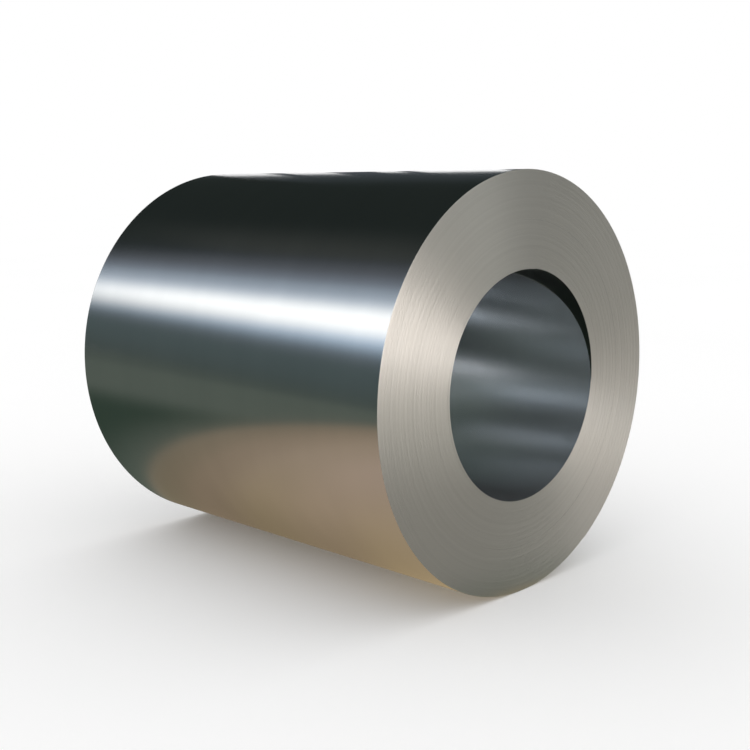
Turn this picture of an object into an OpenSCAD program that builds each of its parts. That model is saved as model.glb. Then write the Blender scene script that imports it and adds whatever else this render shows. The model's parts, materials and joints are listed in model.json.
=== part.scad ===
// Coil of bright cold-rolled steel strip, lying on its side.
// The axis runs along X, +Z is up, and the origin is on the floor under the middle of the coil.
// Lengths are in millimetres, and angles round the coil count from +Y towards +Z.

/* [Strip] */
// Width of the strip, which is the length of the coil
strip_width = 1219; // [600:1:1850]
// Thickness of the strip
strip_thickness = 1.2; // [0.8:0.1:3]

/* [Coil] */
// Diameter of the bore, as wound on the mandrel
bore_diameter = 610; // [400:1:760]
// Diameter over the outermost turn
outer_diameter = 1117; // [900:1:2000]

/* [Turns on the ends] */
// Turns that lie flush with each other and show as one band
turns_per_band = 5; // [4:1:16]
// Furthest that a band of turns stands back from the end
band_stagger = 0.8; // [0.2:0.1:4]
// Length of the waves in which the bands wander, in bands
wander_length = 11; // [4:1:30]

/* [Strip ends] */
// Direction of the strip's outer end, low on the far side
tail_angle = -58; // [-80:1:-20]
// Direction of the strip's inner end, high in the bore
lead_angle = 84; // [70:1:84]
// Direction in which the curved cut of the inner end runs out of the strip's near edge
lead_cut_start = -4; // [-4:1:30]
// How far from the near edge that cut meets the inner end's square part
lead_cut_depth = 240; // [100:1:500]
// How sharply that cut turns away from the near edge
lead_cut_bend = 2.9; // [1:0.1:6]

/* [Hidden] */
$fn = 180;
bore_r = bore_diameter / 2;
outer_r = outer_diameter / 2;
half_width = strip_width / 2;
wall = outer_r - bore_r;
bands = max(3, round(wall / (turns_per_band * strip_thickness)));
band_width = wall / bands;
second_turn_r = bore_r + strip_thickness;
// The shears have rolled the corner of the inner end over a little.
lead_step_r = bore_r + 0.95 * strip_thickness;
// The outermost turn closes in by half a thickness for each half circle.
half_turn_drop = strip_thickness / 2;
axis_height = outer_r - half_turn_drop + half_turn_drop * sin(tail_angle);
lead_cut_middle = (lead_cut_start + lead_angle) / 2;
lead_cut_steps = 22;

// How far band i stands back from one end of the coil, from 0 to band_stagger. The
// innermost and the outermost band are flush with each other.
function set_back(i, phase) =
    i == 0 || i == bands - 1 ? 0 :
    band_stagger * (0.5 - 0.3 * cos(360 * i / wander_length + phase)
        - 0.2 * cos(137.5 * i));

// The two corners of band i in the half section. A band runs into the next over one turn.
function band_corners(i, level) = [
    [bore_r + i * band_width + (i == 0 ? 0 : strip_thickness / 2), level],
    [bore_r + (i + 1) * band_width - (i == bands - 1 ? 0 : strip_thickness / 2), level],
];

// Distance from the near edge to the inner end's curved cut, at a share of its sweep.
function lead_cut(share) =
    lead_cut_depth * (exp(lead_cut_bend * share) - 1) / (exp(lead_cut_bend) - 1);

// Half section of the wound strip: x is the radius and y runs along the axis.
module wound_section() {
    near_end = [for (i = [0:bands - 1]) each band_corners(i, half_width - set_back(i, 90))];
    far_end = [for (i = [0:bands - 1]) each band_corners(i, set_back(i, -90) - half_width)];
    polygon(concat(near_end, [for (k = [len(far_end) - 1:-1:0]) far_end[k]]));
}

// Outline of the outermost turn, a two-centre spiral of two half circles. It drops by one
// thickness of strip at the strip's outer end, which is at angle 0.
module spiral_outline() {
    intersection() {
        circle(r = outer_r);
        translate([-outer_r, 0]) square([2 * outer_r, outer_r]);
    }
    translate([-half_turn_drop, 0]) intersection() {
        circle(r = outer_r - half_turn_drop);
        translate([-outer_r, -outer_r]) square([2 * outer_r, outer_r]);
    }
}

// Wedge of air at the strip's inner end, left by the second turn as it climbs over that
// end. The step is at angle 0, and the wedge closes where the turn lifts off the mandrel.
module lead_gap() {
    climb = acos(bore_r / lead_step_r);
    polygon([
        [bore_r / 2, 0],
        [lead_step_r, 0],
        [bore_r * cos(climb), bore_r * sin(climb)],
    ]);
}

// Near corner of the inner end, which a curved cut has taken off the first turn. Seen
// square on, the cut's points lie on the bore's wall.
module lead_corner() {
    sweep = lead_angle - lead_cut_start;
    cut = [for (k = [-2:lead_cut_steps])
        [bore_r * sin(sweep * (k / lead_cut_steps - 0.5)),
            half_width - lead_cut(k / lead_cut_steps)]];
    past_step = bore_r * sin(sweep / 2 + 2);
    above_edge = half_width + 3 * strip_thickness;
    intersection() {
        rotate(tail_angle) translate([0, 0, half_width - 2 * lead_cut_depth])
            cylinder(r = second_turn_r, h = 3 * lead_cut_depth);
        rotate(lead_cut_middle) rotate([90, 0, 90]) linear_extrude(height = outer_r)
            polygon(concat(cut, [
                [past_step, half_width - lead_cut_depth],
                [past_step, above_edge],
                [cut[0].x, above_edge],
            ]));
        rotate(lead_angle + 0.5) translate([0, -outer_r, half_width - 2 * lead_cut_depth])
            cube([outer_r, outer_r, 3 * lead_cut_depth]);
    }
}

// The coil with its axis along Z.
module wound_coil() {
    difference() {
        rotate(tail_angle) intersection() {
            rotate_extrude() wound_section();
            translate([0, 0, -half_width])
                linear_extrude(height = strip_width) spiral_outline();
        }
        rotate(lead_angle) translate([0, 0, -strip_width])
            linear_extrude(height = 2 * strip_width) lead_gap();
        lead_corner();
    }
}

// The coil on its side, with its axis along X and resting on the floor.
module coil() {
    color("silver")
        translate([0, 0, axis_height]) rotate([90, 0, 90]) wound_coil();
}

coil();
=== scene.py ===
import json
import random
from math import acos, cos, exp, pi, radians, sin, sqrt, tau

import bpy
from mathutils import Matrix, Vector


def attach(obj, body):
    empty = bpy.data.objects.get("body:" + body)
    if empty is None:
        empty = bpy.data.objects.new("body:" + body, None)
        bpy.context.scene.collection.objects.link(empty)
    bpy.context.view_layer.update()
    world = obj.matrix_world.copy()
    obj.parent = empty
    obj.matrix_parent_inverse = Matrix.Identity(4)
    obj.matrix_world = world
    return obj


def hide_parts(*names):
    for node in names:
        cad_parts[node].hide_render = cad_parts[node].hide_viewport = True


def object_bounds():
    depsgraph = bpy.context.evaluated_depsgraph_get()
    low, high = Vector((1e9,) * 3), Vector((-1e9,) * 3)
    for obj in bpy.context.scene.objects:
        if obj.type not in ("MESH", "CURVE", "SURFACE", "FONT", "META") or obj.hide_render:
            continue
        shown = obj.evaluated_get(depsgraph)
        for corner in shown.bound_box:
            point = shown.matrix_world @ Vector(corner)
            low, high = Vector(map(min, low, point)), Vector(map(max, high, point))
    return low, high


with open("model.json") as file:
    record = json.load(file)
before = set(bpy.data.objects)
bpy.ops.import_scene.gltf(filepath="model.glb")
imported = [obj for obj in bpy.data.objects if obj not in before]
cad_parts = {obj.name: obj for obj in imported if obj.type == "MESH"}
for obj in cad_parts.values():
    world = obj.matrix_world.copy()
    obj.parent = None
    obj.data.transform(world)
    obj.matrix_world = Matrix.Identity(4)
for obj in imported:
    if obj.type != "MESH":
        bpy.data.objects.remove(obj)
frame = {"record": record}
cad_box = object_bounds()

# A steel coil on its side. Lengths are in metres, and angles round the coil count from +Y
# towards +Z. The CAD mesh lies a little inside its true circles, and the pieces stay
# within its box.
INSET = 0.00001
mount = next(m for m in frame["record"]["mounts"] if m["name"] == "bore")
AXIS = Vector(mount["pos_m"])
BORE_R = mount["dims"]["r_mm"] / 1000
HALF_WIDTH = cad_box[1][0] - INSET
OUTER_R = cad_box[1][2] - AXIS.z - INSET
STRIP = 0.0012
EDGE_ROUND = 0.0005

# Turns and bands of turns on the ends, as in the CAD model.
TURNS_PER_BAND = 5
BANDS = round((OUTER_R - BORE_R) / (TURNS_PER_BAND * STRIP))
TURNS = BANDS * TURNS_PER_BAND
PITCH = (OUTER_R - BORE_R) / TURNS
STAGGER = 0.0008
WANDER_LENGTH = 11
NEAR_PHASE = pi / 2
FAR_PHASE = -pi / 2

# Single turns on the ends: the grooves between them, how far one turn may stand back on
# its own, and how much its edge may lean.
GROOVE_SIDE = 0.11 * STRIP
GROOVE_DEPTH = 0.25 * STRIP
TURN_STEP = 0.00005
TURN_LEAN = 0.00002

# The strip's outer end, and its inner end with the curved cut of its near corner. The
# step at the inner end is a little lower than the strip, because its edge is rolled over.
TAIL_ANGLE = radians(-58)
LEAD_ANGLE = radians(84)
LEAD_CUT_START = radians(-4)
LEAD_CUT_DEPTH = 0.240
LEAD_CUT_BEND = 2.9
LEAD_STEP = 0.95 * STRIP

# How finely the pieces are drawn round the coil and along it. HAIR is the small angle by
# which the walls stop short of the steps at the strip's two ends.
FACE_COLUMNS = 180
WALL_COLUMNS = 540
WALL_ROWS = 12
CUT_ROWS = 4
HAIR = 1e-5


# Shapes


def at(angle, radius, x):
    """The point at that angle and radius round the coil's axis."""
    return Vector((x, radius * cos(angle), AXIS.z + radius * sin(angle)))


def set_back(band, phase):
    """How far a band of turns stands back from the end of the coil."""
    if band in (0, BANDS - 1):
        return 0.0
    wander = 0.3 * cos(tau * band / WANDER_LENGTH + phase)
    return STAGGER * (0.5 - wander - 0.2 * cos(radians(137.5) * band))


def outside(angle):
    """Radius of the outermost turn, which drops by one strip at the strip's outer end."""
    turned = (angle - TAIL_ANGLE) % tau
    drop = STRIP / 2
    if turned <= pi:
        return OUTER_R
    return sqrt((OUTER_R - drop) ** 2 - (drop * sin(turned)) ** 2) - drop * cos(turned)


def inside(angle):
    """Radius of the bore, with the wedge that the second turn leaves as it climbs."""
    climbed = (angle - LEAD_ANGLE) % tau
    climb = acos(BORE_R / (BORE_R + LEAD_STEP))
    if climbed >= climb:
        return BORE_R
    return BORE_R / cos(climb - climbed)


def lead_cut(angle):
    """How far the near corner's cut lies from the near end, at that angle."""
    share = (angle - LEAD_CUT_START) / (LEAD_ANGLE - LEAD_CUT_START)
    if share <= 0:
        return 0.0
    return LEAD_CUT_DEPTH * (exp(LEAD_CUT_BEND * share) - 1) / (exp(LEAD_CUT_BEND) - 1)


def spread(start, end, steps):
    """Evenly spaced values from start to end."""
    return [start + (end - start) * k / steps for k in range(steps + 1)]


class Sheet:
    """Points and quads of one piece, gathered grid by grid."""

    def __init__(self):
        self.points, self.quads, self.material_of = [], [], []

    def grid(self, rows, columns, place, material=0, flip=False):
        """Adds a grid whose point at (row, column) is place(row, column)."""
        first = len(self.points)
        self.points += [place(r, c) for r in rows for c in columns]
        width = len(columns)
        for i in range(len(rows) - 1):
            for j in range(width - 1):
                a = first + i * width + j
                quad = (a, a + 1, a + 1 + width, a + width)
                self.quads.append(quad[::-1] if flip else quad)
                self.material_of.append(material)

    def piece(self, name, materials):
        """Makes a smooth mesh that stands for the CAD coil and rides on its body."""
        mesh = bpy.data.meshes.new(name)
        mesh.from_pydata(self.points, [], self.quads)
        mesh.shade_smooth()
        mesh.set_sharp_from_angle(angle=radians(25))
        for material in materials:
            mesh.materials.append(material)
        mesh.polygons.foreach_set("material_index", self.material_of)
        made = bpy.data.objects.new(name, mesh)
        bpy.context.scene.collection.objects.link(made)
        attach(made, "root")
        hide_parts("coil")


def turn_rows(first, last, phase, seed):
    """Radius and set-back of each row of points across the edges of some turns. Each turn
    has a row at either side of its edge and one in the groove that follows it."""
    chance = random.Random(seed)
    rows = []
    for turn in range(first, last):
        inner = BORE_R + turn * PITCH
        level = set_back(turn // TURNS_PER_BAND, phase)
        lean = TURN_LEAN * chance.uniform(-1, 1)
        if 0 < turn < TURNS - 1:
            level += TURN_STEP * chance.random()
        else:
            lean = 0.0
        rows.append((inner + (GROOVE_SIDE if turn else 0), level + max(0.0, lean)))
        rows.append((inner + PITCH - GROOVE_SIDE, level + max(0.0, -lean)))
        if turn < TURNS - 1:
            rows.append((inner + PITCH, level + GROOVE_DEPTH))
    return rows


def turn_edges(name, side, first, last, phase, seed, materials):
    """The edges of turns first to last on one end, each with its own height and lean."""
    sheet = Sheet()

    def place(row, angle):
        radius, level = row
        radius = min(radius, outside(angle) - EDGE_ROUND)
        return at(angle, radius, side * (HALF_WIDTH - level))

    angles = spread(LEAD_ANGLE - tau, LEAD_ANGLE, FACE_COLUMNS)
    rows = turn_rows(first, last, phase, seed)
    if side > 0 and first == 0:
        # On the near end, the first turn's edge stops where the curved cut starts.
        just_past_start = LEAD_CUT_START + 0.01
        uncut = [a for a in angles if a < just_past_start]
        first_turn, rows = rows[:4], rows[3:]
        sheet.grid(first_turn, uncut, place, flip=True)
    sheet.grid(rows, angles, place, flip=side > 0)
    sheet.piece(name, materials)


def outermost_turn(materials):
    """The coil's outer wall, its rounded rims and the step at the strip's outer end."""
    sheet = Sheet()
    # Steps in from the rim and down from the wall, both in edge roundings.
    rim = [(k, 1 - sqrt(1 - (1 - k) ** 2)) for k in (0, 0.3, 1)] + [(3, 0)]
    rows = [(EDGE_ROUND * k - HALF_WIDTH, EDGE_ROUND * drop) for k, drop in rim]
    rows += [(x, 0.0) for x in spread(-HALF_WIDTH, HALF_WIDTH, WALL_ROWS)[1:-1]]
    rows += [(-x, drop) for x, drop in reversed(rows[:len(rim)])]
    angles = spread(TAIL_ANGLE + HAIR, TAIL_ANGLE + tau - HAIR, WALL_COLUMNS)
    sheet.grid(rows, angles, lambda row, a: at(a, outside(a) - row[1], row[0]), flip=True)
    step = [OUTER_R - STRIP, OUTER_R]
    sheet.grid(rows, step, lambda row, r: at(TAIL_ANGLE, r - row[1], row[0]), material=1)
    sheet.piece("outermost_turn", materials)


def innermost_turn(materials):
    """The bore's wall, with the strip's inner end and the turn that its cut lays bare."""
    sheet = Sheet()
    around = spread(LEAD_ANGLE - tau + HAIR, LEAD_ANGLE - HAIR, WALL_COLUMNS)
    swept = [a for a in around if a > LEAD_CUT_START]
    thickness = [BORE_R, BORE_R + STRIP]
    square_part = [HALF_WIDTH - LEAD_CUT_DEPTH, -HALF_WIDTH]

    def wall(share, a):
        near = HALF_WIDTH - lead_cut(a)
        return at(a, inside(a), near - (near + HALF_WIDTH) * share)

    def bared(share, a):
        return at(a, BORE_R + STRIP, HALF_WIDTH - share * lead_cut(a))

    def cut_edge(r, a):
        return at(a, r, HALF_WIDTH - lead_cut(a))

    sheet.grid(spread(0, 1, WALL_ROWS), around, wall)
    sheet.grid(spread(0, 1, CUT_ROWS), swept, bared, material=1)
    sheet.grid(thickness, swept, cut_edge, material=2)
    sheet.grid(square_part, thickness, lambda x, r: at(LEAD_ANGLE, r, x), material=2)
    sheet.piece("innermost_turn", materials)


# Materials


def node(tree, kind, settings=None, **sockets):
    """Adds a node, sets its properties, and sets or links its sockets. _0 is the first socket."""
    made = tree.nodes.new(kind)
    for key, value in (settings or {}).items():
        setattr(made, key, value)
    for key, value in sockets.items():
        socket = made.inputs[int(key[1:]) if key[1:].isdigit() else key.replace("_", " ")]
        if isinstance(value, bpy.types.NodeSocket):
            tree.links.new(value, socket)
        else:
            socket.default_value = value
    return made


def empty_material(name):
    """A new material and its empty node tree."""
    material = bpy.data.materials.new(name)
    material.use_nodes = True
    material.node_tree.nodes.clear()
    return material, material.node_tree


def maths(tree, operation, *values):
    """Result of a maths node."""
    sockets = {"_%d" % place: value for place, value in enumerate(values)}
    return node(tree, "ShaderNodeMath", {"operation": operation}, **sockets).outputs[0]


def rescale(tree, factor, low, high):
    """Maps a factor from 0 to 1 to values from low to high."""
    return node(tree, "ShaderNodeMapRange", None, Value=factor, To_Min=low, To_Max=high).outputs[0]


def blend(tree, factor, first, second):
    """Colour that runs from first to second."""
    colours = {"data_type": "RGBA"}
    return node(tree, "ShaderNodeMix", colours, Factor=factor, _6=first, _7=second).outputs[2]


def grain(tree, along, round_the_coil, **sockets):
    """Noise of so many grains a metre along the coil's axis and across it. With few across,
    the grains are drawn out into lines that run round the coil."""
    place = node(tree, "ShaderNodeTexCoord").outputs["Object"]
    scale = (along, round_the_coil, round_the_coil)
    scaled = node(tree, "ShaderNodeMapping", None, Vector=place, Scale=scale).outputs[0]
    return node(tree, "ShaderNodeTexNoise", None, Vector=scaled, Scale=1.0,
                **sockets).outputs["Fac"]


def by_radius(tree, radius, strips, detail):
    """Noise that changes with the radius only, over about so many turns of strip."""
    return node(tree, "ShaderNodeTexNoise", {"noise_dimensions": "1D"}, W=radius,
                Scale=1 / STRIP / strips, Detail=detail).outputs["Fac"]


def radius_of(tree):
    """Distance from the coil's axis."""
    place = node(tree, "ShaderNodeTexCoord").outputs["Object"]
    shift = {"operation": "SUBTRACT"}
    centred = node(tree, "ShaderNodeVectorMath", shift, _0=place, _1=tuple(AXIS)).outputs[0]
    flat = {"operation": "MULTIPLY"}
    across = node(tree, "ShaderNodeVectorMath", flat, _0=centred, _1=(0, 1, 1)).outputs[0]
    return node(tree, "ShaderNodeVectorMath", {"operation": "LENGTH"}, _0=across).outputs["Value"]


def finish_metal(tree, colour, roughness, anisotropic, normal, metallic=1.0):
    """A metal whose grain runs round the coil, so that reflections spread across it."""
    tangent = node(tree, "ShaderNodeTangent", {"direction_type": "RADIAL", "axis": "X"}).outputs[0]
    shader = node(tree, "ShaderNodeBsdfPrincipled", None, Base_Color=colour, Metallic=metallic,
                  Roughness=roughness, Anisotropic=anisotropic, Anisotropic_Rotation=0.25,
                  Tangent=tangent, Normal=normal)
    node(tree, "ShaderNodeOutputMaterial", None, Surface=shader.outputs[0])


def rolled_steel(name, light, dark, roughness, anisotropic, waviness, line_bump, metallic=1.0):
    """Bright cold-rolled strip with fine rolling lines and slightly wavy reflections."""
    material, tree = empty_material(name)
    lines = grain(tree, 420, 3, Detail=3.0, Roughness=0.6)
    patches = grain(tree, 9, 2, Detail=2.0)
    waves = grain(tree, 2.2, 3.5, Detail=1.0)
    tone = blend(tree, patches, dark, light)
    rough = rescale(tree, lines, roughness * 0.8, roughness * 1.2)
    swell = node(tree, "ShaderNodeBump", None, Strength=1.0, Distance=waviness, Height=waves)
    fine = node(tree, "ShaderNodeBump", None, Strength=line_bump, Distance=0.0002, Height=lines,
                Normal=swell.outputs[0])
    finish_metal(tree, tone, rough, anisotropic, fine.outputs[0], metallic)
    return material


def strip_edges(name, light, dark, roughness, anisotropic):
    """Sheared edges of the turns, satin, each turn a little lighter or darker."""
    material, tree = empty_material(name)
    radius = radius_of(tree)
    by_turn = by_radius(tree, radius, 2, 2.0)
    by_band = by_radius(tree, radius, 9, 1.0)
    mixed = node(tree, "ShaderNodeMix", {"data_type": "FLOAT"}, Factor=0.5, _2=by_turn, _3=by_band)
    tone = blend(tree, rescale(tree, mixed.outputs[0], -0.3, 1.3), dark, light)
    rough = rescale(tree, by_turn, roughness * 0.85, roughness * 1.15)
    grit = grain(tree, 300, 300, Detail=2.0)
    bump = node(tree, "ShaderNodeBump", None, Strength=0.015, Distance=0.0003, Height=grit)
    finish_metal(tree, tone, rough, anisotropic, bump.outputs[0])
    return material


def dark_strip(name):
    """The bared stretch of the second turn, which shows near-black."""
    material, tree = empty_material(name)
    lines = grain(tree, 200, 4, Detail=2.0)
    rough = rescale(tree, lines, low=0.3, high=0.45)
    bump = node(tree, "ShaderNodeBump", None, Strength=0.1, Distance=0.0003, Height=lines)
    finish_metal(tree, (0.06, 0.075, 0.06, 1), rough, 0.3, bump.outputs[0])
    return material


def pale_floor():
    """White floor that takes the coil's shadow. A faint light of its own, seen by camera,
    glossy and transmission rays only, lifts its unshaded parts to plain white."""
    material, tree = empty_material("pale_floor")
    lift_to_white = 0.07
    speck = node(tree, "ShaderNodeTexNoise", None, Scale=40.0, Detail=2.0).outputs["Fac"]
    tone = blend(tree, speck, (0.92, 0.92, 0.92, 1), (0.94, 0.94, 0.94, 1))
    shader = node(tree, "ShaderNodeBsdfDiffuse", None, Color=tone)
    path = node(tree, "ShaderNodeLightPath").outputs
    seen = maths(tree, "MAXIMUM", path["Is Camera Ray"], path["Is Glossy Ray"])
    seen = maths(tree, "MAXIMUM", seen, path["Is Transmission Ray"])
    lift = node(tree, "ShaderNodeEmission", None, Color=(1, 1, 1, 1),
                Strength=rescale(tree, seen, 0.0, lift_to_white))
    both = node(tree, "ShaderNodeAddShader", None, _0=shader.outputs[0], _1=lift.outputs[0])
    node(tree, "ShaderNodeOutputMaterial", None, Surface=both.outputs[0])
    return material


# Stage


def edge_fade(tree, along, edge):
    """1 across the middle of a card, and down to 0 over the share edge at either side."""
    off_middle = maths(tree, "ABSOLUTE", maths(tree, "SUBTRACT", along, 0.5))
    smooth = {"interpolation_type": "SMOOTHSTEP"}
    return node(tree, "ShaderNodeMapRange", smooth, Value=off_middle, From_Min=0.5 - edge,
                From_Max=0.5, To_Min=1.0, To_Max=0.0).outputs[0]


def colour_stops(tree, along, stops):
    """Colour that runs smoothly through the stops."""
    colours = node(tree, "ShaderNodeValToRGB", None, _0=along)
    ramp = colours.color_ramp
    ramp.interpolation = "EASE"
    while len(ramp.elements) < len(stops):
        ramp.elements.new(0.5)
    for element, (position, colour) in zip(ramp.elements, stops):
        element.position = position
        element.color = (*colour, 1)
    return colours.outputs[0]


def glow(name, stops, strength, soft, cover):
    """A card's light. Its colour runs through the stops from its foot to its top, and it
    fades out over the share soft of its width and of its height. Cover below 1 lets
    through some of what lies behind."""
    material, tree = empty_material(name)
    place = node(tree, "ShaderNodeTexCoord").outputs["Generated"]
    across, upward, _ = node(tree, "ShaderNodeSeparateXYZ", None, Vector=place).outputs
    fade = maths(tree, "MULTIPLY", edge_fade(tree, across, soft[0]), cover)
    fade = maths(tree, "MULTIPLY", edge_fade(tree, upward, soft[1]), fade)
    colour = colour_stops(tree, upward, stops)
    light = node(tree, "ShaderNodeEmission", None, Color=colour, Strength=strength)
    clear = node(tree, "ShaderNodeBsdfTransparent")
    mixed = node(tree, "ShaderNodeMixShader", None, _0=fade, _1=clear.outputs[0],
                 _2=light.outputs[0])
    node(tree, "ShaderNodeOutputMaterial", None, Surface=mixed.outputs[0])
    return material


def card(name, middle, right, up, colours, strength=1.0, soft=(0.02, 0.02), cover=1.0):
    """A studio card that the metal reflects. right and up reach from its middle to its edges,
    and colours is one colour or stops from its foot to its top."""
    stops = colours if isinstance(colours, list) else [(0, colours), (1, colours)]
    mesh = bpy.data.meshes.new(name)
    corners = [(-1, -1, 0), (1, -1, 0), (1, 1, 0), (-1, 1, 0)]
    mesh.from_pydata(corners, [], [(0, 1, 2, 3)])
    mesh.materials.append(glow(name, stops, strength, soft, cover))
    panel = bpy.data.objects.new(name, mesh)
    right, up = Vector(right), Vector(up)
    # An object can't be sheared, so up is made square to right.
    up -= up.project(right)
    turn = Matrix((right, up, right.cross(up).normalized())).transposed().to_4x4()
    panel.matrix_world = Matrix.Translation(middle) @ turn
    bpy.context.scene.collection.objects.link(panel)
    panel.visible_camera = False
    panel.visible_diffuse = False
    panel.visible_shadow = False
    panel.visible_transmission = False


def floor_and_world():
    """Pale floor and white surroundings, which light the coil from all sides."""
    mesh = bpy.data.meshes.new("floor")
    reach = 40
    corners = [(-reach, -reach, 0), (reach, -reach, 0), (reach, reach, 0), (-reach, reach, 0)]
    mesh.from_pydata(corners, [], [(0, 1, 2, 3)])
    mesh.materials.append(pale_floor())
    floor = bpy.data.objects.new("floor", mesh)
    bpy.context.scene.collection.objects.link(floor)

    world = bpy.data.worlds.new("studio")
    world.use_nodes = True
    background = world.node_tree.nodes["Background"].inputs
    background["Color"].default_value = (1, 1, 1, 1)
    background["Strength"].default_value = 1.0
    bpy.context.scene.world = world


def hall_cards():
    """Dark and grey cards on all sides, like the hall that the metal reflects."""
    black = (0.02, 0.026, 0.024)
    card("ceiling", (0, 0, 8), (11, 0, 0), (0, 8, 0), black)
    card("left_wall", (0, -6, 4), (11, 0, 0), (0, 0, 4),
         [(0, (0.065, 0.08, 0.07)), (0.1, (0.07, 0.10, 0.08)), (0.2, (0.09, 0.12, 0.12)),
          (0.3, (0.10, 0.13, 0.15)), (0.6, (0.04, 0.05, 0.05))])
    card("right_wall", (0, 7, 4), (11, 0, 0), (0, 0, 4),
         [(0, (0.11, 0.12, 0.13)), (0.3, (0.09, 0.10, 0.115)), (0.6, (0.05, 0.06, 0.065)),
          (1, black)])
    card("far_wall", (-10, 0, 4), (0, 8, 0), (0, 0, 4),
         [(0, (0.11, 0.125, 0.13)), (0.3, (0.10, 0.115, 0.12)), (0.55, black)])
    card("front_wall", (8, 0, 4), (0, 8, 0), (0, 0, 4), (0.30, 0.31, 0.29))
    card("hall_floor", (0, 0, 0.0005), (11, 0, 0), (0, 8, 0), (0.13, 0.155, 0.13))


def floor_patches():
    """Grey, dark and warm patches of floor, with painted light and shade among them, stacked a
    fraction of a millimetre apart.
    """
    # Grey floor in front of the near end, beside the coil and behind it.
    card("front_floor", (4.6, 0.5, 0.0010), (4.0, 0, 0), (0, 6.5, 0), (0.32, 0.312, 0.29),
         soft=(0.03, 0.1))
    card("side_floor", (0.2, 3.9, 0.0008), (1.3, 0, 0), (0, 3.6, 0), (0.30, 0.30, 0.28),
         soft=(0.1, 0.1))
    card("back_floor", (-5.3, 2.7, 0.0010), (3.4, 0, 0), (0, 3.9, 0), (0.28, 0.29, 0.27),
         soft=(0.08, 0.05))
    # Painted light and shade on the floor, which the left, right and lower parts of the near end
    # reflect.
    card("left_fill", (2.5, 1.5, 0.0015), (1.5, 0, 0), (0, 1.1, 0), (0.98, 0.95, 0.88),
         soft=(0.4, 0.4))
    card("right_shade", (3.1, 4.3, 0.0015), (2.2, 0, 0), (0, 1.5, 0), (0.10, 0.105, 0.095),
         soft=(0.3, 0.3))
    card("near_shade", (1.2, 0.95, 0.0020), (0.5, 0, 0), (0, 0.5, 0), (0.12, 0.12, 0.11),
         soft=(0.4, 0.4))
    # The dark green and the tan low on the coil's side. The tan's stops run along the coil.
    card("dark_floor", (-1.6, -0.65, 0.0015), (1.0, 0, 0), (0, 0.8, 0), (0.045, 0.07, 0.052),
         soft=(0.3, 0.3))
    card("warm_floor", (-0.075, -1.1, 0.0020), (0, 1.3, 0), (0.725, 0, 0),
         [(0.0, (0.27, 0.225, 0.165)), (0.14, (0.31, 0.25, 0.18)), (0.24, (0.38, 0.295, 0.215)),
          (0.41, (0.47, 0.365, 0.27)), (0.62, (0.55, 0.42, 0.325)), (1, (0.575, 0.44, 0.34))],
         soft=(0.12, 0.07))
    # Painted shadow: darker cards over the tan next to the coil, standing in for its shadow on the
    # floor, which glowing cards can't show.
    card("contact_shade", (-0.05, -0.15, 0.0025), (0, 0.85, 0), (0.70, 0, 0),
         [(0.04, (0.20, 0.17, 0.11)), (0.23, (0.28, 0.21, 0.14)), (0.42, (0.36, 0.275, 0.15)),
          (0.61, (0.39, 0.29, 0.17)), (0.80, (0.45, 0.335, 0.17))],
         soft=(0.5, 0.05), cover=0.8)
    card("edge_shade", (-0.05, -0.15, 0.0030), (0, 0.40, 0), (0.70, 0, 0), (0.13, 0.10, 0.065),
         soft=(0.5, 0.4), cover=0.5)


def side_lights():
    """The strip light along the coil's side, with its halo above and a dark flag below."""
    white = (1.0, 1.0, 1.0)
    cool = (0.86, 1.0, 1.22)
    faint = (0.05, 0.058, 0.066)
    card("strip_halo", (-5, -3.04, 4.5), (7, 0, 0), (0, 0, 3.5),
         [(0.0, cool), (0.30, (0.82, 0.92, 1.05)), (0.40, (0.45, 0.53, 0.63)),
          (0.54, (0.20, 0.225, 0.27)), (0.68, (0.115, 0.125, 0.14)), (1.0, faint)],
         soft=(0.02, 0.0001))
    card("strip_left", (-3.2, -3.02, 2.1), (4.0, 0, 0), (0, 0, 1.25),
         [(0.0, (0.45, 0.65, 1.0)), (0.3, (0.62, 0.80, 1.03)), (0.55, white)], 1.95,
         soft=(0.3, 0.3))
    card("strip_flag", (-4.2, -3, 1.12), (6.5, 0, -0.88), (0, 0, 1.5),
         [(0, (0.07, 0.085, 0.07)), (0.55, (0.09, 0.12, 0.12)), (0.68, (0.14, 0.17, 0.19)),
          (1, (0.30, 0.36, 0.42))], soft=(0.02, 0.37))


def far_lamps():
    """The lamps across the hall that show along the coil's top and in its bore."""
    white = (1.0, 1.0, 1.0)
    bright = 1.4
    card("lamp_near", (-4.72, 6, 1.65), (0.62, 0, 0), (0, 0, 1.5), white, bright,
         soft=(0.1, 0.12))
    card("lamp_middle", (-5.64, 6, 1.8), (0.2, 0, 0), (0, 0, 1.0), white, bright,
         soft=(0.2, 0.15))
    card("lamp_far", (-6.84, 6, 2.3), (0.4, 0, 0), (0, 0, 0.8), white, bright,
         soft=(0.1, 0.15))
    card("lamp_farthest", (-8.05, 6, 2.55), (0.58, 0, 0), (0, 0, 0.8), white, bright,
         soft=(0.1, 0.15))
    card("low_right", (-6.4, 6.2, 0.65), (3.2, 0, 0), (0, 0, 0.5), (0.9, 0.95, 1.0), 0.4,
         soft=(0.03, 0.4))


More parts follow.
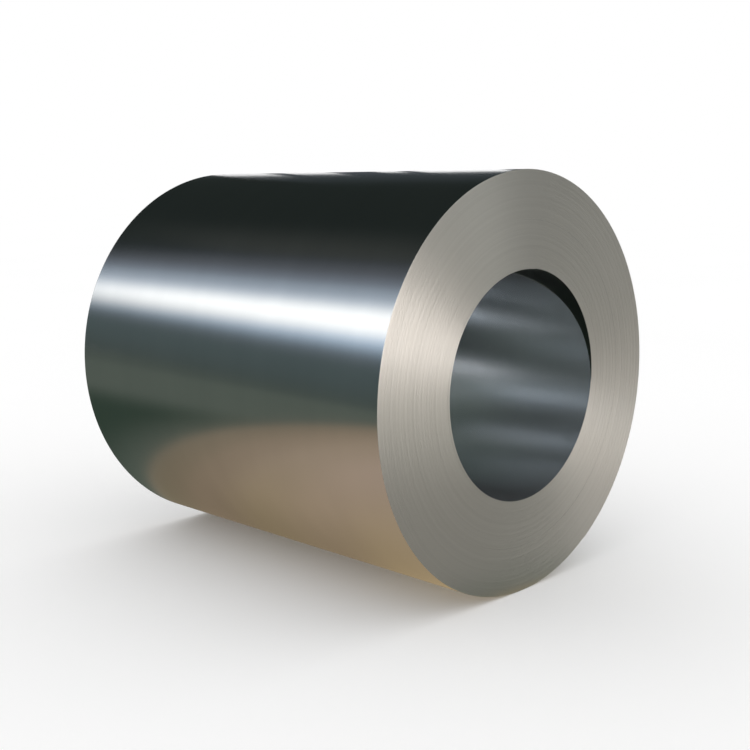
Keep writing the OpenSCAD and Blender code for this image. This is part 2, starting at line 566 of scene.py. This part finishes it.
def end_lights():
    """Softboxes for the bright lobes on the ends, and dimmer cards that fill in beside them."""
    warm = (1.0, 0.92, 0.88)
    card("softbox_near", (4.6, 0.95, 0.76), (0, 1.65, -0.68), (0, 0.42, 1.0), warm, 5.4,
         soft=(0.25, 0.5))
    card("softbox_side", (4.6, 2.7, 0.5), (0, 0.9, 0), (0, 0, 0.5), warm, 4.5, soft=(0.4, 0.5))
    card("softbox_far", (-4.6, 1.1, 0.95), (0, -1.6, 0), (0, 0, 0.95), (0.97, 0.98, 1.0), 2.4,
         soft=(0.2, 0.3))
    card("right_glow", (5.6, 6.9, 1.7), (4.0, 0, 0), (0, 0, 1.9), (0.265, 0.275, 0.27),
         soft=(0.15, 0.2))
    card("right_lobe", (7.4, 6.8, 0.9), (1.9, 0, 0), (0, 0, 0.9), (0.85, 0.83, 0.79),
         soft=(0.3, 0.4))
    card("upper_fill", (5.2, 4.4, 2.6), (-0.7, 0.7, 0), (0, 0, 0.9), (2.05, 2.07, 2.03),
         soft=(0.4, 0.4))
    card("ceiling_glow", (-7.5, -2.6, 7.9), (3.0, 0, 0), (0, 3.0, 0), (0.055, 0.06, 0.055),
         soft=(0.2, 0.5))
    card("ceiling_light", (4.2, 0, 7.8), (4.5, 0, 0), (0, 4.0, 0), (1.0, 1.0, 1.0), 0.7,
         soft=(0.3, 0.3))


def camera():
    """The photograph's viewing angle, at 750 by 750 pixels."""
    picture_width = 750
    focal_px = 1140.55
    turned = 0.770025
    tipped = 0.158407
    above_axis = 0.4984
    data = bpy.data.cameras.new("camera")
    data.sensor_width = 36
    data.lens = focal_px * data.sensor_width / picture_width
    eye = bpy.data.objects.new("camera", data)
    eye.location = Vector((2.3713, -2.3814, above_axis + AXIS.z))
    eye.rotation_euler = (pi / 2 - tipped, 0, turned)
    bpy.context.scene.collection.objects.link(eye)
    bpy.context.scene.camera = eye


outer_steel = rolled_steel("outer_steel", (0.60, 0.61, 0.605, 1), (0.53, 0.54, 0.54, 1),
                           roughness=0.17, anisotropic=0.6, waviness=0.0004, line_bump=0.05)
# The same steel as outside, but lighter and bluer: painted light that brightens the bore's wall
# and tints it blue.
bore_steel_painted_light = rolled_steel("bore_steel_painted_light", (0.78, 0.805, 0.825, 1), (0.725, 0.75, 0.77, 1),
                          roughness=0.22, anisotropic=0.45, waviness=0.0003, line_bump=0.015,
                          metallic=0.965)
edge_steel = strip_edges("edge_steel", (0.70, 0.69, 0.655, 1), (0.62, 0.61, 0.575, 1),
                         roughness=0.35, anisotropic=0.8)
bared_steel = dark_strip("bared_steel")

outermost_turn([outer_steel, edge_steel])
innermost_turn([bore_steel_painted_light, bared_steel, bore_steel_painted_light])
half = TURNS // 2
for end, side, phase, seed in (("near", 1, NEAR_PHASE, 3), ("far", -1, FAR_PHASE, 8)):
    turn_edges(end + "_end_inner_turns", side, 0, half, phase, seed, [edge_steel])
    turn_edges(end + "_end_outer_turns", side, half, TURNS, phase, seed + 1, [edge_steel])

floor_and_world()
hall_cards()
floor_patches()
side_lights()
far_lamps()
end_lights()
camera()
bpy.context.scene.view_settings.view_transform = "Standard"
